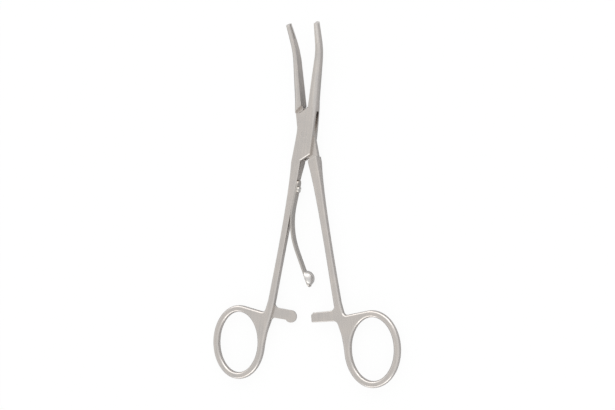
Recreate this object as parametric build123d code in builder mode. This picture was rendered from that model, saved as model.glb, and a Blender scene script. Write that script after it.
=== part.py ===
from build123d import *
from math import acos, asin, atan2, cos, degrees, exp, hypot, radians, sin
import os

os.makedirs("parts", exist_ok=True)

# Ring-handled clip applying forceps with a box lock, in millimetres.
# Both halves are drawn as they lie with the jaws shut: the joint axis is Z through the
# origin, the jaws run to +Y, the handles to -Y, and Z = 0 is the middle of the thickness.
# Each half is then swung open by half_open, and all is raised onto the back of the box.

# Opening
half_open = 7.0            # each half is swung this far from shut, degrees
stop_gap = 0.12            # between the tongue's corners and the slot ends when fully open

# Box lock
box_depth = 5.9
box_side = 3.75            # half the width of the box
box_top_crotch = 12.2      # where the plate meets the root of its own jaw
box_top_corner = 9.2
box_low_crotch = 11.4
box_low_corner = 8.3
box_edge = 0.3             # rounding of the long edges
lip_chamfer = 0.4          # along the ground ends of the plates and the shoulders
tongue_thick = 2.3
tongue_play = 0.06         # on each face of the tongue
tongue_reach = 9.95        # half length of the tongue
pin_dia = 3.0
pin_play = 0.03            # radial, between the pin and the tongue

# Jaws
face_gap = 0.05            # from the middle plane to each jaw face
jaw_root = 3.7             # width of the jaw at its root
jaw_tip = 1.85
jaw_taper = 20.0           # its depth falls away from here to the tip
bend_start = 33.2          # along Y
bend_radius = 16.0
bend_angle = 29.0
pad_length = 8.4           # straight clip-holding end beyond the bend
bend_length = bend_radius * radians(bend_angle)
jaw_length = bend_start + bend_length + pad_length
pad_depth = 3.3            # depth of the tip
face_relief = 0.1          # ground away between the root and the clip pads
groove_wide = 0.8          # clip groove
groove_deep = 0.4
groove_length = 7.0

# Shanks
shank_start = 12.5         # below the joint
shank_end = 74.0
shank_in_top = 0.35        # inner side of the shank from the middle plane
shank_in_end = 5.0
shank_bow = 0.4
shank_root = 4.4
shank_waist = 2.8
waist_at = 52.0
shank_round = 0.6
shank_fall = 7.5           # over this length most of the box's extra depth is lost

# Rings
ring_depth = 3.1
ring_below = 20.6          # below the end of the shank
ring_centre = (20.4, -shank_end - ring_below)
ring_outer = (12.6, 16.3)
bow_centre = (20.5, -shank_end - ring_below)
bow_inner = (9.7, 13.4)
ring_tilt = 6.0
ring_round = 1.1
ring_join = 172.0          # angle round the oval at which the neck runs into it
crotch_round = 1.6

# Crossbars: one in each half of the thickness, so that they pass each other
bar_gap = 0.3
bar_edge = 0.45
bar_top = shank_end + 2.7
bar_wide = 4.5
left_bar_end = 5.65
right_bar_end = 5.85

# Leaf spring on the inner side of the left shank
leaf_thick = 0.7
leaf_wide = 4.3
leaf_top = 19.9            # below the joint
leaf_leaves = 30.9         # where it lifts off the shank
leaf_radius = 34.0
leaf_lean = 29.2           # of the straight end, degrees from the shut handles
leaf_straight = 16.8
screw_at = 24.0
screw_dia = 1.6
head_dia = 3.0
head_high = 0.8
button_dia = 6.6
button_high = 2.9
button_rim = 0.4
button_back = 3.9          # button centre, measured back from the leaf's end
rivet_dia = 1.6
rivet_head = 2.6
rivet_high = 0.35
rivet_play = 0.05          # round the rivet and under its heads


def shank_inner(down):
    t = max(0, (down - shank_start) / (shank_end - shank_start))
    return shank_in_top + (shank_in_end - shank_in_top) * t + shank_bow * 4 * t * (1 - t)


def shank_width(down):
    return shank_waist + (shank_root - shank_waist) * ((down - waist_at) / (shank_start - waist_at)) ** 2


def shank_outer(down):
    if down > shank_start:
        return shank_inner(down) + shank_width(down)
    flare = shank_in_top + shank_root - box_side
    return box_side + flare * (down / shank_start) ** 1.2


def shank_depth(down):
    past = max(0, down - shank_start)
    return ring_depth + (box_depth - ring_depth) * exp(-past / shank_fall)


def jaw_width(along):
    left = min(1, (jaw_length - along) / (jaw_length - box_top_crotch))
    return jaw_tip + (jaw_root - jaw_tip) * left


def jaw_depth(along):
    t = max(0, (along - jaw_taper) / (jaw_length - jaw_taper))
    return box_depth - (box_depth - pad_depth) * t ** 1.25


def jaw_rounding(along):
    full = min(jaw_width(along), jaw_depth(along) / 2) * 0.85
    return box_edge + (full - box_edge) * min(1, along / 16) ** 1.5


# Where the crotch line touches the outer oval of the ring, in the oval's own angle
tilt = radians(ring_tilt)
crotch = (9.35, -shank_end - 5.5)
off_x, off_y = crotch[0] - ring_centre[0], crotch[1] - ring_centre[1]
unit_x = (off_x * cos(tilt) - off_y * sin(tilt)) / ring_outer[0]
unit_y = (off_x * sin(tilt) + off_y * cos(tilt)) / ring_outer[1]
touch_angle = degrees(atan2(unit_y, unit_x)) - degrees(acos(1 / hypot(unit_x, unit_y)))
neck_in = shank_inner(shank_end)
neck_out = neck_in + shank_width(shank_end)

# Handle ring with the neck that joins it to the shank, drawn for the right hand side
with BuildPart() as ring_blank:
    with BuildSketch(Plane.XY.offset(-ring_depth / 2)):
        with BuildLine():
            oval = EllipticalCenterArc(
                ring_centre, *ring_outer, -ring_join, arc_size=touch_angle + ring_join, rotation=-ring_tilt
            )
            Line(oval @ 1, crotch)
            Line(crotch, (neck_out, -shank_end))
            Line((neck_out, -shank_end), (neck_in, -shank_end))
            Spline(
                (neck_in, -shank_end),
                (neck_in + 1.65, -shank_end - 10.5),
                oval @ 0,
                tangents=[(0.06, -1), oval % 0],
            )
        make_face()
        with Locations(bow_centre):
            Ellipse(bow_inner[0], bow_inner[1], rotation=-ring_tilt, mode=Mode.SUBTRACT)
    extrude(amount=ring_depth)
    fillet(edges().filter_by(Axis.Z).sort_by_distance((*crotch, 0))[0], radius=crotch_round)
    rims = faces().filter_by(Axis.Z).edges().filter_by(lambda e: e.center().Y < -shank_end - 0.05)
    fillet(rims, radius=ring_round)

# Blank that both halves are forged to: jaw, box, shank and ring, as for the half whose
# jaw is on the right and whose ring is on the left
with BuildPart() as forging:
    with BuildSketch(Plane.XY.offset(-box_depth / 2)):
        with BuildLine():
            Polyline(
                (-box_side, 0),
                (-box_side, box_top_corner),
                (face_gap, box_top_crotch),
                (2.4, box_top_crotch),
                (3.7, 0),
                (box_side, 0),
                (box_side, -box_low_corner),
                (-shank_in_top, -box_low_crotch),
                (-3.2, -box_low_crotch),
                (-3.7, 0),
                close=True,
            )
        make_face()
    extrude(amount=box_depth)
    top_lip = (-box_side / 2, (box_top_corner + box_top_crotch) / 2)
    low_lip = (box_side / 2, -(box_low_corner + box_low_crotch) / 2)
    lips = [
        edges().sort_by_distance((*lip, side * box_depth / 2))[0]
        for lip in (top_lip, low_lip)
        for side in (-1, 1)
    ]
    chamfer(lips, length=lip_chamfer)
    long_edges = edges().filter_by(Axis.Y).filter_by(lambda e: abs(e.center().X) > box_side - 0.01)
    fillet(long_edges, radius=box_edge)
    left_ring = ring_blank.part.mirror(Plane.YZ)
    top_stations = [shank_start * step / 4 for step in range(4)]
    long_stations = [shank_start + (shank_end - shank_start) * step / 13 for step in range(13)]
    for down in top_stations + long_stations:
        rounding = box_edge + (shank_round - box_edge) * min(1, down / shank_start)
        rounding = rounding + (ring_round - rounding) * (down / shank_end) ** 8
        rounding = min(rounding, 0.36 * shank_width(down))
        inner, outer = shank_inner(down), shank_outer(down)
        with BuildSketch(Plane(origin=(0, -down, 0), x_dir=(1, 0, 0), z_dir=(0, 1, 0))):
            with Locations((-(inner + outer) / 2, 0)):
                Rectangle(outer - inner, shank_depth(down))
            fillet(vertices(), radius=rounding)
    add(left_ring.faces().sort_by(Axis.Y)[-1])
    loft(ruled=True)
    for step in range(17):
        along = jaw_length * step / 16
        lean = bend_angle * min(1, max(0, along - bend_start) / bend_length)
        past = max(0, along - bend_start - bend_length)
        up = min(along, bend_start) + bend_radius * sin(radians(lean)) + past * cos(radians(lean))
        rise = bend_radius * (1 - cos(radians(lean))) + past * sin(radians(lean))
        tangent = (0, cos(radians(lean)), sin(radians(lean)))
        with BuildSketch(Plane(origin=(0, up, rise), x_dir=(1, 0, 0), z_dir=tangent)):
            with Locations((face_gap + jaw_width(along) / 2, 0)):
                Rectangle(jaw_width(along), jaw_depth(along))
            fillet(vertices().group_by(Axis.X)[0], radius=0.2)
            fillet(vertices().group_by(Axis.X)[-1], radius=jaw_rounding(along))
    loft(ruled=True)
    add(left_ring)
    # The face is relieved behind the clip pad, and the clip groove runs out at the tip
    pad_up = bend_start + bend_radius * sin(radians(bend_angle))
    pad_rise = bend_radius * (1 - cos(radians(bend_angle)))
    tip_up = pad_up + pad_length * cos(radians(bend_angle))
    tip_rise = pad_rise + pad_length * sin(radians(bend_angle))
    across = (-sin(radians(bend_angle)), cos(radians(bend_angle)))
    with BuildSketch(Plane.YZ.offset(face_gap)):
        with BuildLine():
            Polyline(
                (box_top_crotch + 2.5, -4),
                (pad_up - 4 * across[0], pad_rise - 4 * across[1]),
                (pad_up + 4 * across[0], pad_rise + 4 * across[1]),
                (box_top_crotch + 2.5, 4),
                close=True,
            )
        make_face()
    extrude(amount=face_relief, mode=Mode.SUBTRACT)
    with BuildSketch(Plane.YZ.offset(face_gap)):
        with Locations((tip_up, tip_rise)):
            SlotOverall(2 * groove_length, groove_wide, rotation=bend_angle)
    extrude(amount=groove_deep, mode=Mode.SUBTRACT)

# Plain crossbars. The left one lies in the rear half of the thickness and ends in a
# rounded pad, the right one lies in the front half and is cut off square.
bar_thick = (ring_depth - bar_gap) / 2
pad_round = 2.7
with BuildPart() as left_bar:
    with BuildSketch(Plane.XY.offset(-ring_depth / 2)) as left_bar_shape:
        with BuildLine():
            Polyline(
                (-neck_in - 2.1, -bar_top + 3.2),
                (-neck_in - 0.5, -bar_top + 3.2),
                (-neck_in - 0.3, -bar_top),
                (left_bar_end - pad_round, -bar_top),
                (left_bar_end - pad_round, -bar_top - bar_wide),
                (-neck_in - 0.9, -bar_top - bar_wide),
                (-neck_in - 2.3, -bar_top - bar_wide - 6),
                (-neck_in - 3.4, -bar_top - bar_wide - 6),
                close=True,
            )
        make_face()
        with Locations((left_bar_end - pad_round, -bar_top - pad_round)):
            Circle(pad_round)
        top_root = (-neck_in - 0.3, -bar_top)
        low_root = (-neck_in - 0.9, -bar_top - bar_wide)
        fillet([left_bar_shape.vertices().sort_by_distance(p)[0] for p in (top_root, low_root)], radius=2.0)
    extrude(amount=bar_thick)
    fillet(faces().sort_by(Axis.Z)[0].edges().filter_by(lambda e: e.center().X > -4.5), radius=bar_edge)

with BuildPart() as right_bar:
    with BuildSketch(Plane.XY.offset(bar_gap / 2)) as right_bar_shape:
        with BuildLine():
            Polyline(
                (neck_in + 2.1, -bar_top + 3.2),
                (neck_in + 0.5, -bar_top + 3.2),
                (neck_in + 0.3, -bar_top - 0.3),
                (1.2 - right_bar_end, -bar_top - 0.3),
                (-right_bar_end, -bar_top - 1.4),
                (-right_bar_end, -bar_top - bar_wide),
                (neck_in + 0.9, -bar_top - bar_wide - 0.4),
                (neck_in + 2.3, -bar_top - bar_wide - 6),
                (neck_in + 3.4, -bar_top - bar_wide - 6),
                close=True,
            )
        make_face()
        top_root = (neck_in + 0.3, -bar_top - 0.3)
        low_root = (neck_in + 0.9, -bar_top - bar_wide - 0.4)
        fillet([right_bar_shape.vertices().sort_by_distance(p)[0] for p in (top_root, low_root)], radius=2.0)
        square_end = (-right_bar_end, -bar_top - bar_wide)
        fillet(right_bar_shape.vertices().sort_by_distance(square_end)[0], radius=0.5)
    extrude(amount=bar_thick)
    fillet(faces().sort_by(Axis.Z)[-1].edges().filter_by(lambda e: e.center().X < 4.5), radius=bar_edge)

# Seat of the leaf spring on the inner side of the left shank
seat_from, seat_to = shank_inner(leaf_top), shank_inner(leaf_leaves)
seat_lean = degrees(atan2(seat_to - seat_from, leaf_leaves - leaf_top))
seat_down = (-sin(radians(seat_lean)), -cos(radians(seat_lean)))
seat_out = (cos(radians(seat_lean)), -sin(radians(seat_lean)))
seat_sink = 0.12
seat_length = 15.0
seat_start = (-seat_from - seat_sink, -leaf_top)
leaf_run = (leaf_leaves - leaf_top) / cos(radians(seat_lean))
screw_run = (screw_at - leaf_top) / cos(radians(seat_lean))
screw_seat = (seat_start[0] + seat_down[0] * screw_run, seat_start[1] + seat_down[1] * screw_run)

# Half with the box: the right jaw, the slotted box, the left shank and ring
corner_angle = atan2(tongue_reach, box_side) + radians(2 * half_open)
slot_end = hypot(box_side, tongue_reach) * sin(corner_angle) + stop_gap
slot_half = tongue_thick / 2 + tongue_play
with BuildPart() as box_shut:
    add(forging.part)
    add(left_bar.part)
    with BuildSketch(Plane.XY.offset(-slot_half)):
        with BuildLine():
            Polyline(
                (-9, -slot_end),
                (-9, 14),
                (face_gap, 14),
                (face_gap, slot_end),
                (9, slot_end),
                (9, -14),
                (-shank_in_top, -14),
                (-shank_in_top, -slot_end),
                close=True,
            )
        make_face()
    extrude(amount=2 * slot_half, mode=Mode.SUBTRACT)
    Cylinder(radius=pin_dia / 2, height=2 * box_depth, mode=Mode.SUBTRACT)
    # flat for the leaf spring and the tapped hole of its screw
    seat_middle = (
        seat_start[0] + seat_down[0] * (seat_length / 2 - 0.3) + seat_out[0],
        seat_start[1] + seat_down[1] * (seat_length / 2 - 0.3) + seat_out[1],
        0,
    )
    with Locations(Location(seat_middle, (0, 0, -seat_lean))):
        Box(2, seat_length, box_depth, mode=Mode.SUBTRACT)
    with Locations(Plane(origin=(*screw_seat, 0), z_dir=(*seat_out, 0))):
        Cylinder(radius=screw_dia / 2, height=5.0, mode=Mode.SUBTRACT)

# Half with the tongue: the left jaw, the tongue through the box, the right shank and ring
with BuildPart() as tongue_shut:
    add(forging.part.mirror(Plane.YZ))
    add(right_bar.part)
    for side in (-1, 1):
        with BuildSketch(Plane.XY.offset(side * tongue_thick / 2)):
            with BuildLine():
                Polyline((-9, 6.3), (1.5, 14.1), (9, 14.1), (9, -8.45), (-1.5, -12.2), (-9, -14.88), close=True)
            make_face()
        extrude(amount=side * box_depth, mode=Mode.SUBTRACT)
    with BuildSketch(Plane.XY.offset(-tongue_thick / 2)):
        with BuildLine():
            Polyline((-0.15, tongue_reach), (-0.15, 15), (9, 15), (9, tongue_reach), close=True)
        make_face()
        with BuildLine():
            Polyline((0.35, -tongue_reach), (0.35, -15), (-9, -15), (-9, -tongue_reach), close=True)
        make_face()
    extrude(amount=tongue_thick, mode=Mode.SUBTRACT)
    for side in (-1, 1):
        with Locations((side * box_side / 2, side * (tongue_reach - 2))):
            Box(box_side, 4, tongue_thick)
    Cylinder(radius=pin_dia / 2 + pin_play, height=2 * box_depth, mode=Mode.SUBTRACT)

# Joint pin, riveted over and ground flush with both faces of the box
with BuildPart() as pin_shut:
    Cylinder(radius=pin_dia / 2, height=box_depth)

# Leaf spring
with BuildPart() as leaf_shut:
    with BuildLine() as leaf_line:
        flat = Line(
            (seat_start[0] + seat_out[0] * leaf_thick / 2, seat_start[1] + seat_out[1] * leaf_thick / 2),
            (
                seat_start[0] + seat_out[0] * leaf_thick / 2 + seat_down[0] * leaf_run,
                seat_start[1] + seat_out[1] * leaf_thick / 2 + seat_down[1] * leaf_run,
            ),
        )
        curl = JernArc(flat @ 1, flat % 1, leaf_radius, seat_lean + leaf_lean)
        reach = Line(curl @ 1, curl @ 1 + (curl % 1) * leaf_straight)
    with BuildSketch(Plane(origin=flat @ 0, x_dir=(*seat_out, 0), z_dir=flat % 0)):
        Rectangle(leaf_thick, leaf_wide)
    sweep()
    ends = edges().filter_by(lambda e: abs(e.length - leaf_thick) < 0.02)
    fillet(ends.group_by(Axis.Y)[-1] + ends.group_by(Axis.Y)[0], radius=leaf_wide / 2 - 0.1)
    with Locations(Plane(origin=(*screw_seat, 0), z_dir=(*seat_out, 0))):
        Cylinder(radius=screw_dia / 2, height=4, mode=Mode.SUBTRACT)
    button_on = reach @ 1 - (reach % 1) * button_back
    lean_out = (cos(radians(leaf_lean)), sin(radians(leaf_lean)), 0)
    with Locations(Plane(origin=button_on, z_dir=lean_out)):
        Cylinder(radius=rivet_dia / 2 + rivet_play, height=4, mode=Mode.SUBTRACT)

# Slotted cheese-head screw that holds the leaf
with BuildPart() as screw_shut:
    head_seat = Plane(
        origin=(screw_seat[0] + seat_out[0] * leaf_thick, screw_seat[1] + seat_out[1] * leaf_thick, 0),
        z_dir=(*seat_out, 0),
    )
    with BuildSketch(head_seat):
        Circle(head_dia / 2)
    extrude(amount=head_high)
    fillet(faces().sort_by(Axis.X)[-1].edges(), radius=0.25)
    with BuildSketch(head_seat.offset(head_high)):
        Rectangle(0.45, head_dia + 1)
    extrude(amount=-0.4, mode=Mode.SUBTRACT)
    with BuildSketch(head_seat):
        Circle(screw_dia / 2)
    extrude(amount=-leaf_thick - 2.4)

# Domed rub button with its rivet through the end of the leaf
with BuildPart() as button_shut:
    under = leaf_thick / 2 + rivet_play
    dome_rise = button_high - button_rim
    dome_radius = ((button_dia / 2) ** 2 + dome_rise ** 2) / (2 * dome_rise)
    dome_angle = degrees(asin(button_dia / 2 / dome_radius))
    with BuildSketch(Plane(origin=button_on, x_dir=(0, 0, 1), z_dir=(-lean_out[1], lean_out[0], 0))):
        with BuildLine():
            Polyline(
                (0, under + button_high),
                (0, -under - rivet_high),
                (rivet_head / 2 - 0.2, -under - rivet_high),
                (rivet_head / 2, -under - rivet_high + 0.2),
                (rivet_head / 2, -under),
                (rivet_dia / 2, -under),
                (rivet_dia / 2, under),
                (button_dia / 2, under),
                (button_dia / 2, under + button_rim),
            )
            CenterArc((0, under + button_high - dome_radius), dome_radius, 90 - dome_angle, dome_angle)
        make_face()
    revolve(axis=Axis(button_on, lean_out))

# Each half as it rests: swung open about the pin and raised onto the back of the box.
# The spring, its screw and its button ride on the half with the box.
lift = Location((0, 0, box_depth / 2))
with BuildPart() as box_half:
    add((lift * box_shut.part.rotate(Axis.Z, -half_open)))

with BuildPart() as tongue_half:
    add((lift * tongue_shut.part.rotate(Axis.Z, half_open)))

with BuildPart() as joint_pin:
    add((lift * pin_shut.part.rotate(Axis.Z, -half_open)))

with BuildPart() as leaf_spring:
    add((lift * leaf_shut.part.rotate(Axis.Z, -half_open)))

with BuildPart() as spring_screw:
    add((lift * screw_shut.part.rotate(Axis.Z, -half_open)))

with BuildPart() as rub_button:
    add((lift * button_shut.part.rotate(Axis.Z, -half_open)))

box_half.part.label = "box_half"
tongue_half.part.label = "tongue_half"
joint_pin.part.label = "joint_pin"
leaf_spring.part.label = "leaf_spring"
spring_screw.part.label = "spring_screw"
rub_button.part.label = "rub_button"

export_step(box_half.part, "parts/box_half.step")
export_step(tongue_half.part, "parts/tongue_half.step")
export_step(joint_pin.part, "parts/joint_pin.step")
export_step(leaf_spring.part, "parts/leaf_spring.step")
export_step(spring_screw.part, "parts/spring_screw.step")
export_step(rub_button.part, "parts/rub_button.step")
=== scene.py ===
import math
import bmesh
import bpy
from mathutils import Matrix, Vector


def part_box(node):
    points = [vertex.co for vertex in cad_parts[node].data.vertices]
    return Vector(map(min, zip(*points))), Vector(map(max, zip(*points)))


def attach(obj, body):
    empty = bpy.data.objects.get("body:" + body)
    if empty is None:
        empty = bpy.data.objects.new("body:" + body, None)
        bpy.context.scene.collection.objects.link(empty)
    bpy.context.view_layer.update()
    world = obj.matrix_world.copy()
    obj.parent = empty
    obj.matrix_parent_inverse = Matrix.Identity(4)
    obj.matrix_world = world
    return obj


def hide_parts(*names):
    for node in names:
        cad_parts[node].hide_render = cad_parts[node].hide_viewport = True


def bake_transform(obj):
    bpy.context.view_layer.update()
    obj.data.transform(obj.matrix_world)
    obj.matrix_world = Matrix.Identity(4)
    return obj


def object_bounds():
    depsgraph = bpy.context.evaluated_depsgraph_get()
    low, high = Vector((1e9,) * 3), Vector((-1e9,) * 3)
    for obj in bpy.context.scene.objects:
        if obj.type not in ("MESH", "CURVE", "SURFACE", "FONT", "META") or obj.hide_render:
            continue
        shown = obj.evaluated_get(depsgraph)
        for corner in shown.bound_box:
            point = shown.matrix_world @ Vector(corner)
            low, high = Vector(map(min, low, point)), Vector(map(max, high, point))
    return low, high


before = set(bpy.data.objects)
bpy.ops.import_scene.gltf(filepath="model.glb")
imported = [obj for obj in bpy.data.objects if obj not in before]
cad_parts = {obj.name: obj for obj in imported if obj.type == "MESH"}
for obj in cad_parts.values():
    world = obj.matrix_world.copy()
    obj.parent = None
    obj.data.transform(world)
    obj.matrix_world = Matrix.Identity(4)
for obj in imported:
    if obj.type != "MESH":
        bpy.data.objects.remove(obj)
cad_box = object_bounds()


# Half with the box: right jaw, slotted box, left shank, crossbar and finger ring, one forging
# of hard stainless steel. It is milled, belt-ground along its length and buffed to a satin
# finish, which leaves every edge very slightly broken.
half_open = math.radians(7.0)  # each shank's turn from the middle line, at rest
broken_edge = 0.00015
crease = math.radians(24)  # a sharper bend than this stays a sharp edge
weld_distance = 2e-6
same_point = 1e-7


def welded_copy(node, name):
    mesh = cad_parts[node].data.copy()
    mesh.name = name
    mesh.materials.clear()
    if mesh.has_custom_normals:
        mesh.attributes.remove(mesh.attributes["custom_normal"])
    bm = bmesh.new()
    bm.from_mesh(mesh)
    bmesh.ops.remove_doubles(bm, verts=bm.verts, dist=weld_distance)
    return mesh, bm


def creased_piece(mesh, bm):
    for face in bm.faces:
        face.smooth = True
    for edge in bm.edges:
        edge.smooth = len(edge.link_faces) == 2 and edge.calc_face_angle(0) < crease
    bm.to_mesh(mesh)
    bm.free()
    piece = bpy.data.objects.new(mesh.name, mesh)
    bpy.context.scene.collection.objects.link(piece)
    return piece


def steel_piece(node, body, name):
    mesh, bm = welded_copy(node, name)
    bmesh.ops.dissolve_degenerate(bm, dist=same_point, edges=bm.edges)
    piece = creased_piece(mesh, bm)
    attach(piece, body)
    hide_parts(node)
    return piece


def ground_steel(name, turn, tint=(0.625, 0.588, 0.56), smooth=0.21, matt=0.31):
    scratches_per_metre = (9000, 260, 9000)
    streaks_per_metre = (1500, 24, 1500)
    clouds_per_metre = 160.0
    streak_share = 0.55
    cool_dark = (0.79, 0.83, 0.87)  # shares of the tint
    warm_light = (1.21, 1.165, 1.12)
    scratch_depth = 0.00001
    steel = bpy.data.materials.new(name)
    steel.use_nodes = True
    nodes, links = steel.node_tree.nodes, steel.node_tree.links
    shader = nodes["Principled BSDF"]
    shader.inputs["Metallic"].default_value = 1.0
    place = nodes.new("ShaderNodeTexCoord")
    along = nodes.new("ShaderNodeMapping")
    along.inputs["Rotation"].default_value = (0, 0, turn)
    links.new(place.outputs["Object"], along.inputs["Vector"])

    # fine scratches left by the belt, running along the shank
    scratch_scale = nodes.new("ShaderNodeMapping")
    scratch_scale.inputs["Scale"].default_value = scratches_per_metre
    links.new(along.outputs["Vector"], scratch_scale.inputs["Vector"])
    scratch = nodes.new("ShaderNodeTexNoise")
    scratch.inputs["Scale"].default_value = 1.0
    scratch.inputs["Detail"].default_value = 4.0
    scratch.inputs["Roughness"].default_value = 0.6
    links.new(scratch_scale.outputs["Vector"], scratch.inputs["Vector"])

    # slow, uneven sheen from hand buffing
    cloud = nodes.new("ShaderNodeTexNoise")
    cloud.inputs["Scale"].default_value = clouds_per_metre
    cloud.inputs["Detail"].default_value = 3.0
    links.new(along.outputs["Vector"], cloud.inputs["Vector"])

    # long streaks where the belt passed more than once
    streak_scale = nodes.new("ShaderNodeMapping")
    streak_scale.inputs["Scale"].default_value = streaks_per_metre
    links.new(along.outputs["Vector"], streak_scale.inputs["Vector"])
    streak = nodes.new("ShaderNodeTexNoise")
    streak.inputs["Scale"].default_value = 1.0
    streak.inputs["Detail"].default_value = 3.0
    links.new(streak_scale.outputs["Vector"], streak.inputs["Vector"])

    # clouds and streaks together shift the colour from a cool dark to a warm light steel
    both = nodes.new("ShaderNodeMix")
    both.inputs["Factor"].default_value = streak_share
    links.new(cloud.outputs["Fac"], both.inputs["A"])
    links.new(streak.outputs["Fac"], both.inputs["B"])
    colour = nodes.new("ShaderNodeMix")
    colour.data_type = "RGBA"
    colour.inputs["A"].default_value = [tint[i] * cool_dark[i] for i in range(3)] + [1]
    colour.inputs["B"].default_value = [tint[i] * warm_light[i] for i in range(3)] + [1]
    links.new(both.outputs["Result"], colour.inputs["Factor"])
    links.new(colour.outputs["Result"], shader.inputs["Base Color"])
    rough = nodes.new("ShaderNodeMapRange")
    rough.inputs["From Min"].default_value = 0.3
    rough.inputs["From Max"].default_value = 0.7
    rough.inputs["To Min"].default_value = smooth
    rough.inputs["To Max"].default_value = matt
    links.new(scratch.outputs["Fac"], rough.inputs["Value"])
    links.new(rough.outputs["Result"], shader.inputs["Roughness"])

    # every edge slightly broken by the buffing wheel
    edges = nodes.new("ShaderNodeBevel")
    edges.samples = 6
    edges.inputs["Radius"].default_value = broken_edge
    bump = nodes.new("ShaderNodeBump")
    bump.inputs["Strength"].default_value = 0.25
    bump.inputs["Distance"].default_value = scratch_depth
    links.new(scratch.outputs["Fac"], bump.inputs["Height"])
    links.new(edges.outputs["Normal"], bump.inputs["Normal"])
    links.new(bump.outputs["Normal"], shader.inputs["Normal"])
    return steel


box_forging = steel_piece("box_half", "half with the box", "box_half_forging")
box_forging.data.materials.append(ground_steel("satin_box_half", half_open))


# Half with the tongue: left jaw, tongue, right shank, crossbar and finger ring, the same
# forging turned over, its middle milled down to the tongue that passes through the box.
tongue_forging = steel_piece(
    "tongue_half", "half with the tongue", "tongue_half_forging"
)
tongue_forging.data.materials.append(ground_steel("satin_tongue_half", -half_open))


# Joint pin: a steel rivet pressed through the box, hammered over and ground flush with both
# faces, so that only a hairline shows round its ends.
pin_radius = 0.0015
pin_rim = 0.00005
level_within = 1e-6
pin_tint = (0.61, 0.575, 0.55)
pin_low, pin_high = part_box("joint_pin")
bm = bmesh.new()
bmesh.ops.create_cone(
    bm,
    cap_ends=True,
    segments=96,
    radius1=pin_radius,
    radius2=pin_radius,
    depth=pin_high.z - pin_low.z,
)
rims = [e for e in bm.edges if abs(e.verts[0].co.z - e.verts[1].co.z) < level_within]
bmesh.ops.bevel(
    bm, geom=rims, offset=pin_rim, segments=2, profile=0.5, affect="EDGES", material=-1
)
bmesh.ops.translate(bm, verts=bm.verts, vec=(0, 0, (pin_high.z + pin_low.z) / 2))
for face in bm.faces:
    face.smooth = len(face.verts) == 4
pin_mesh = bpy.data.meshes.new("flush_joint_pin")
bm.to_mesh(pin_mesh)
bm.free()
pin = bpy.data.objects.new("flush_joint_pin", pin_mesh)
bpy.context.scene.collection.objects.link(pin)
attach(pin, "half with the box")
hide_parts("joint_pin")
pin_mesh.materials.append(ground_steel("ground_pin", half_open, pin_tint))


# Leaf spring: hardened strip of spring steel, bent cold, screwed to the flat on the inner
# side of the left shank. Its free end flexes, so it is divided finely along its length.
leaf_cuts = 64
leaf_width_share = 0.84  # the strip is a little narrower than its solid
leaf_tint = (0.56, 0.53, 0.5)
leaf_low, leaf_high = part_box("leaf_spring")
leaf_middle = (leaf_low.z + leaf_high.z) / 2
leaf_mesh, bm = welded_copy("leaf_spring", "leaf_spring_strip")
for cut in range(1, leaf_cuts):
    bmesh.ops.bisect_plane(
        bm,
        geom=bm.verts[:] + bm.edges[:] + bm.faces[:],
        dist=same_point,
        plane_co=(0, leaf_low.y + (leaf_high.y - leaf_low.y) * cut / leaf_cuts, 0),
        plane_no=(0, 1, 0),
    )
bmesh.ops.scale(
    bm,
    verts=bm.verts,
    vec=(1, 1, leaf_width_share),
    space=Matrix.Translation((0, 0, -leaf_middle)),
)
leaf = creased_piece(leaf_mesh, bm)
leaf_mesh.materials.append(ground_steel("spring_strip", half_open, leaf_tint, 0.2, 0.3))
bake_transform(leaf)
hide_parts("leaf_spring")


# Spring screw: slotted cheese head, turned from steel bar, that holds the leaf on the left
# shank. Its head is left as turned, so it shines more than the forgings.
screw_tint = (0.78, 0.76, 0.73)
screw = steel_piece("spring_screw", "half with the box", "slotted_cheese_screw")
screw.data.materials.append(ground_steel("turned_screw", half_open, screw_tint, 0.12, 0.2))


# Rub button: domed disc, turned and polished, riveted through the end of the leaf. It slides
# on the other shank as the handles close.
button_tint = (0.7, 0.68, 0.66)
button = steel_piece("rub_button", "spring end", "domed_rub_button")
button.data.materials.append(
    ground_steel("polished_button", half_open, button_tint, 0.34, 0.42)
)


# Table: a flat white top under the instrument, seen as plain white with a soft shadow. The
# steel mirrors it as a painted grey beside the instrument (painted shade), and as a painted
# white reflection past the jaw tips, where the flat top glows for mirrored rays.
table_half = 1.6
table_gap = 0.00005
table_seen = (0.92, 0.92, 0.92, 1)
table_painted_shade_grey = (0.56, 0.56, 0.57, 1)  # painted shade: the darker grey that the steel mirrors and is lit by
bm = bmesh.new()
bmesh.ops.create_grid(bm, x_segments=1, y_segments=1, size=table_half)
bmesh.ops.translate(bm, verts=bm.verts, vec=(0, 0, cad_box[0].z - table_gap))
table_mesh = bpy.data.meshes.new("table_top")
bm.to_mesh(table_mesh)
bm.free()
table_top = bpy.data.objects.new("table_top", table_mesh)
bpy.context.scene.collection.objects.link(table_top)
white_table = bpy.data.materials.new("white_table")
white_table.use_nodes = True
nodes, links = white_table.node_tree.nodes, white_table.node_tree.links
matt = nodes["Principled BSDF"]
matt.inputs["Roughness"].default_value = 0.9
matt.inputs["Specular IOR Level"].default_value = 0.0
white = nodes.new("ShaderNodeEmission")
white.inputs["Strength"].default_value = 1.0
ray = nodes.new("ShaderNodeLightPath")
shade = nodes.new("ShaderNodeMix")
shade.data_type = "RGBA"
shade.inputs["A"].default_value = table_painted_shade_grey
shade.inputs["B"].default_value = table_seen
links.new(ray.outputs["Is Camera Ray"], shade.inputs["Factor"])
links.new(shade.outputs["Result"], matt.inputs["Base Color"])
mirrored = nodes.new("ShaderNodeMath")
mirrored.operation = "MAXIMUM"
links.new(ray.outputs["Is Glossy Ray"], mirrored.inputs[0])
links.new(ray.outputs["Is Transmission Ray"], mirrored.inputs[1])
table_place = nodes.new("ShaderNodeTexCoord")
table_sides = nodes.new("ShaderNodeSeparateXYZ")
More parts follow.
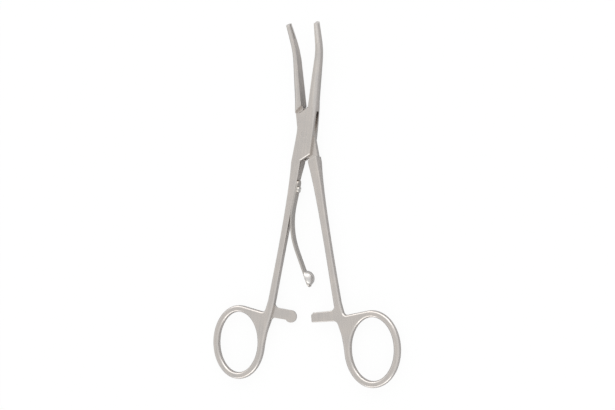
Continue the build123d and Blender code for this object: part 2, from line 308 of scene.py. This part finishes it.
links.new(table_place.outputs["Object"], table_sides.inputs["Vector"])
# painted reflection: for mirrored rays the flat top glows white past the jaw tips, and shows
# mostly the painted grey beside the instrument
painted_tip_reflection_ramp = nodes.new("ShaderNodeMapRange")
painted_tip_reflection_ramp.inputs["From Min"].default_value = 0.045
painted_tip_reflection_ramp.inputs["From Max"].default_value = 0.065
painted_tip_reflection_ramp.inputs["To Min"].default_value = 0.1
painted_tip_reflection_ramp.inputs["To Max"].default_value = 0.9
links.new(table_sides.outputs["Y"], painted_tip_reflection_ramp.inputs["Value"])
mirrored_part = nodes.new("ShaderNodeMath")
mirrored_part.operation = "MULTIPLY"
links.new(mirrored.outputs[0], mirrored_part.inputs[0])
links.new(painted_tip_reflection_ramp.outputs["Result"], mirrored_part.inputs[1])
seen_part = nodes.new("ShaderNodeMath")
seen_part.operation = "MULTIPLY"
seen_part.inputs[1].default_value = 0.93
links.new(ray.outputs["Is Camera Ray"], seen_part.inputs[0])
white_part = nodes.new("ShaderNodeMath")
white_part.operation = "ADD"
links.new(seen_part.outputs[0], white_part.inputs[0])
links.new(mirrored_part.outputs[0], white_part.inputs[1])
surface = nodes.new("ShaderNodeMixShader")
links.new(white_part.outputs[0], surface.inputs["Fac"])
links.new(matt.outputs["BSDF"], surface.inputs[1])
links.new(white.outputs["Emission"], surface.inputs[2])
links.new(surface.outputs["Shader"], nodes["Material Output"].inputs["Surface"])
table_mesh.materials.append(white_table)


# Light tent: soft white cloth all round, a little greyer overhead and low on the right, with
# a bright panel past each end of the instrument, which puts the shine on the rings.
left_foot = (0.97, 0.99, 1, 1)
overhead = (0.735, 0.72, 0.705, 1)
right_wall = (0.98, 1, 1, 1)
right_foot = (0.84, 0.84, 0.85, 1)
end_foot = (0.38, 0.38, 0.38, 1)
panel_levels = (  # place from the ring end to the jaw end, and share of the brightest
    (0.075, 1.0),
    (0.135, 0.35),
    (0.25, 0.31),
    (0.67, 0.31),
    (0.76, 0.42),
    (0.86, 0.76),
    (0.94, 0.76),
)
brightest_panel = 3.2
tent = bpy.data.worlds.new("light_tent")
bpy.context.scene.world = tent
tent.use_nodes = True
nodes, links = tent.node_tree.nodes, tent.node_tree.links
direction = nodes.new("ShaderNodeTexCoord")
sides = nodes.new("ShaderNodeSeparateXYZ")
links.new(direction.outputs["Generated"], sides.inputs["Vector"])
walls = nodes.new("ShaderNodeValToRGB")
walls.color_ramp.interpolation = "B_SPLINE"
walls.color_ramp.elements[0].color = left_foot
walls.color_ramp.elements[1].color = right_foot
walls.color_ramp.elements.new(0.35).color = overhead
walls.color_ramp.elements.new(0.72).color = right_wall
across = nodes.new("ShaderNodeMapRange")
across.inputs["From Min"].default_value = -1
across.inputs["From Max"].default_value = 1
links.new(sides.outputs["X"], across.inputs["Value"])
links.new(across.outputs["Result"], walls.inputs["Fac"])
lengthwise = nodes.new("ShaderNodeMapRange")
lengthwise.inputs["From Min"].default_value = -1
lengthwise.inputs["From Max"].default_value = 1
links.new(sides.outputs["Y"], lengthwise.inputs["Value"])
end_panels = nodes.new("ShaderNodeValToRGB")
end_panels.color_ramp.interpolation = "EASE"
end_panels.color_ramp.elements[0].position = 0.0175
end_panels.color_ramp.elements[0].color = end_foot
end_panels.color_ramp.elements[1].position = 0.985
end_panels.color_ramp.elements[1].color = end_foot
for place, level in panel_levels:
    end_panels.color_ramp.elements.new(place).color = (level, level, level, 1)
links.new(lengthwise.outputs["Result"], end_panels.inputs["Fac"])
panel_strength = nodes.new("ShaderNodeMath")
panel_strength.operation = "MULTIPLY"
panel_strength.inputs[1].default_value = brightest_panel
links.new(end_panels.outputs["Color"], panel_strength.inputs[0])
links.new(walls.outputs["Color"], nodes["Background"].inputs["Color"])
links.new(panel_strength.outputs[0], nodes["Background"].inputs["Strength"])


# Camera: half a metre from the instrument, above it and to its right, looking down at the
# shanks just below the joint, as it stood for the photo.
stand = Vector((0.20420, -0.04936, 0.44833))
aim = Vector((0.00076, -0.03055, 0.00295))
roll = Matrix.Rotation(math.radians(0.82), 3, "Z")
lens = bpy.data.cameras.new("view_of_photo")
lens.lens = 65.94
lens.sensor_width = 36
camera = bpy.data.objects.new("view_of_photo", lens)
bpy.context.scene.collection.objects.link(camera)
look = (aim - stand).normalized()
right = look.cross(Vector((0, 1, 0))).normalized()
up = right.cross(look)
turn = Matrix((right, up, -look)).transposed()
camera.matrix_world = Matrix.Translation(stand) @ (turn @ roll).to_4x4()
bpy.context.scene.camera = camera
bpy.context.scene.view_settings.view_transform = "Standard"
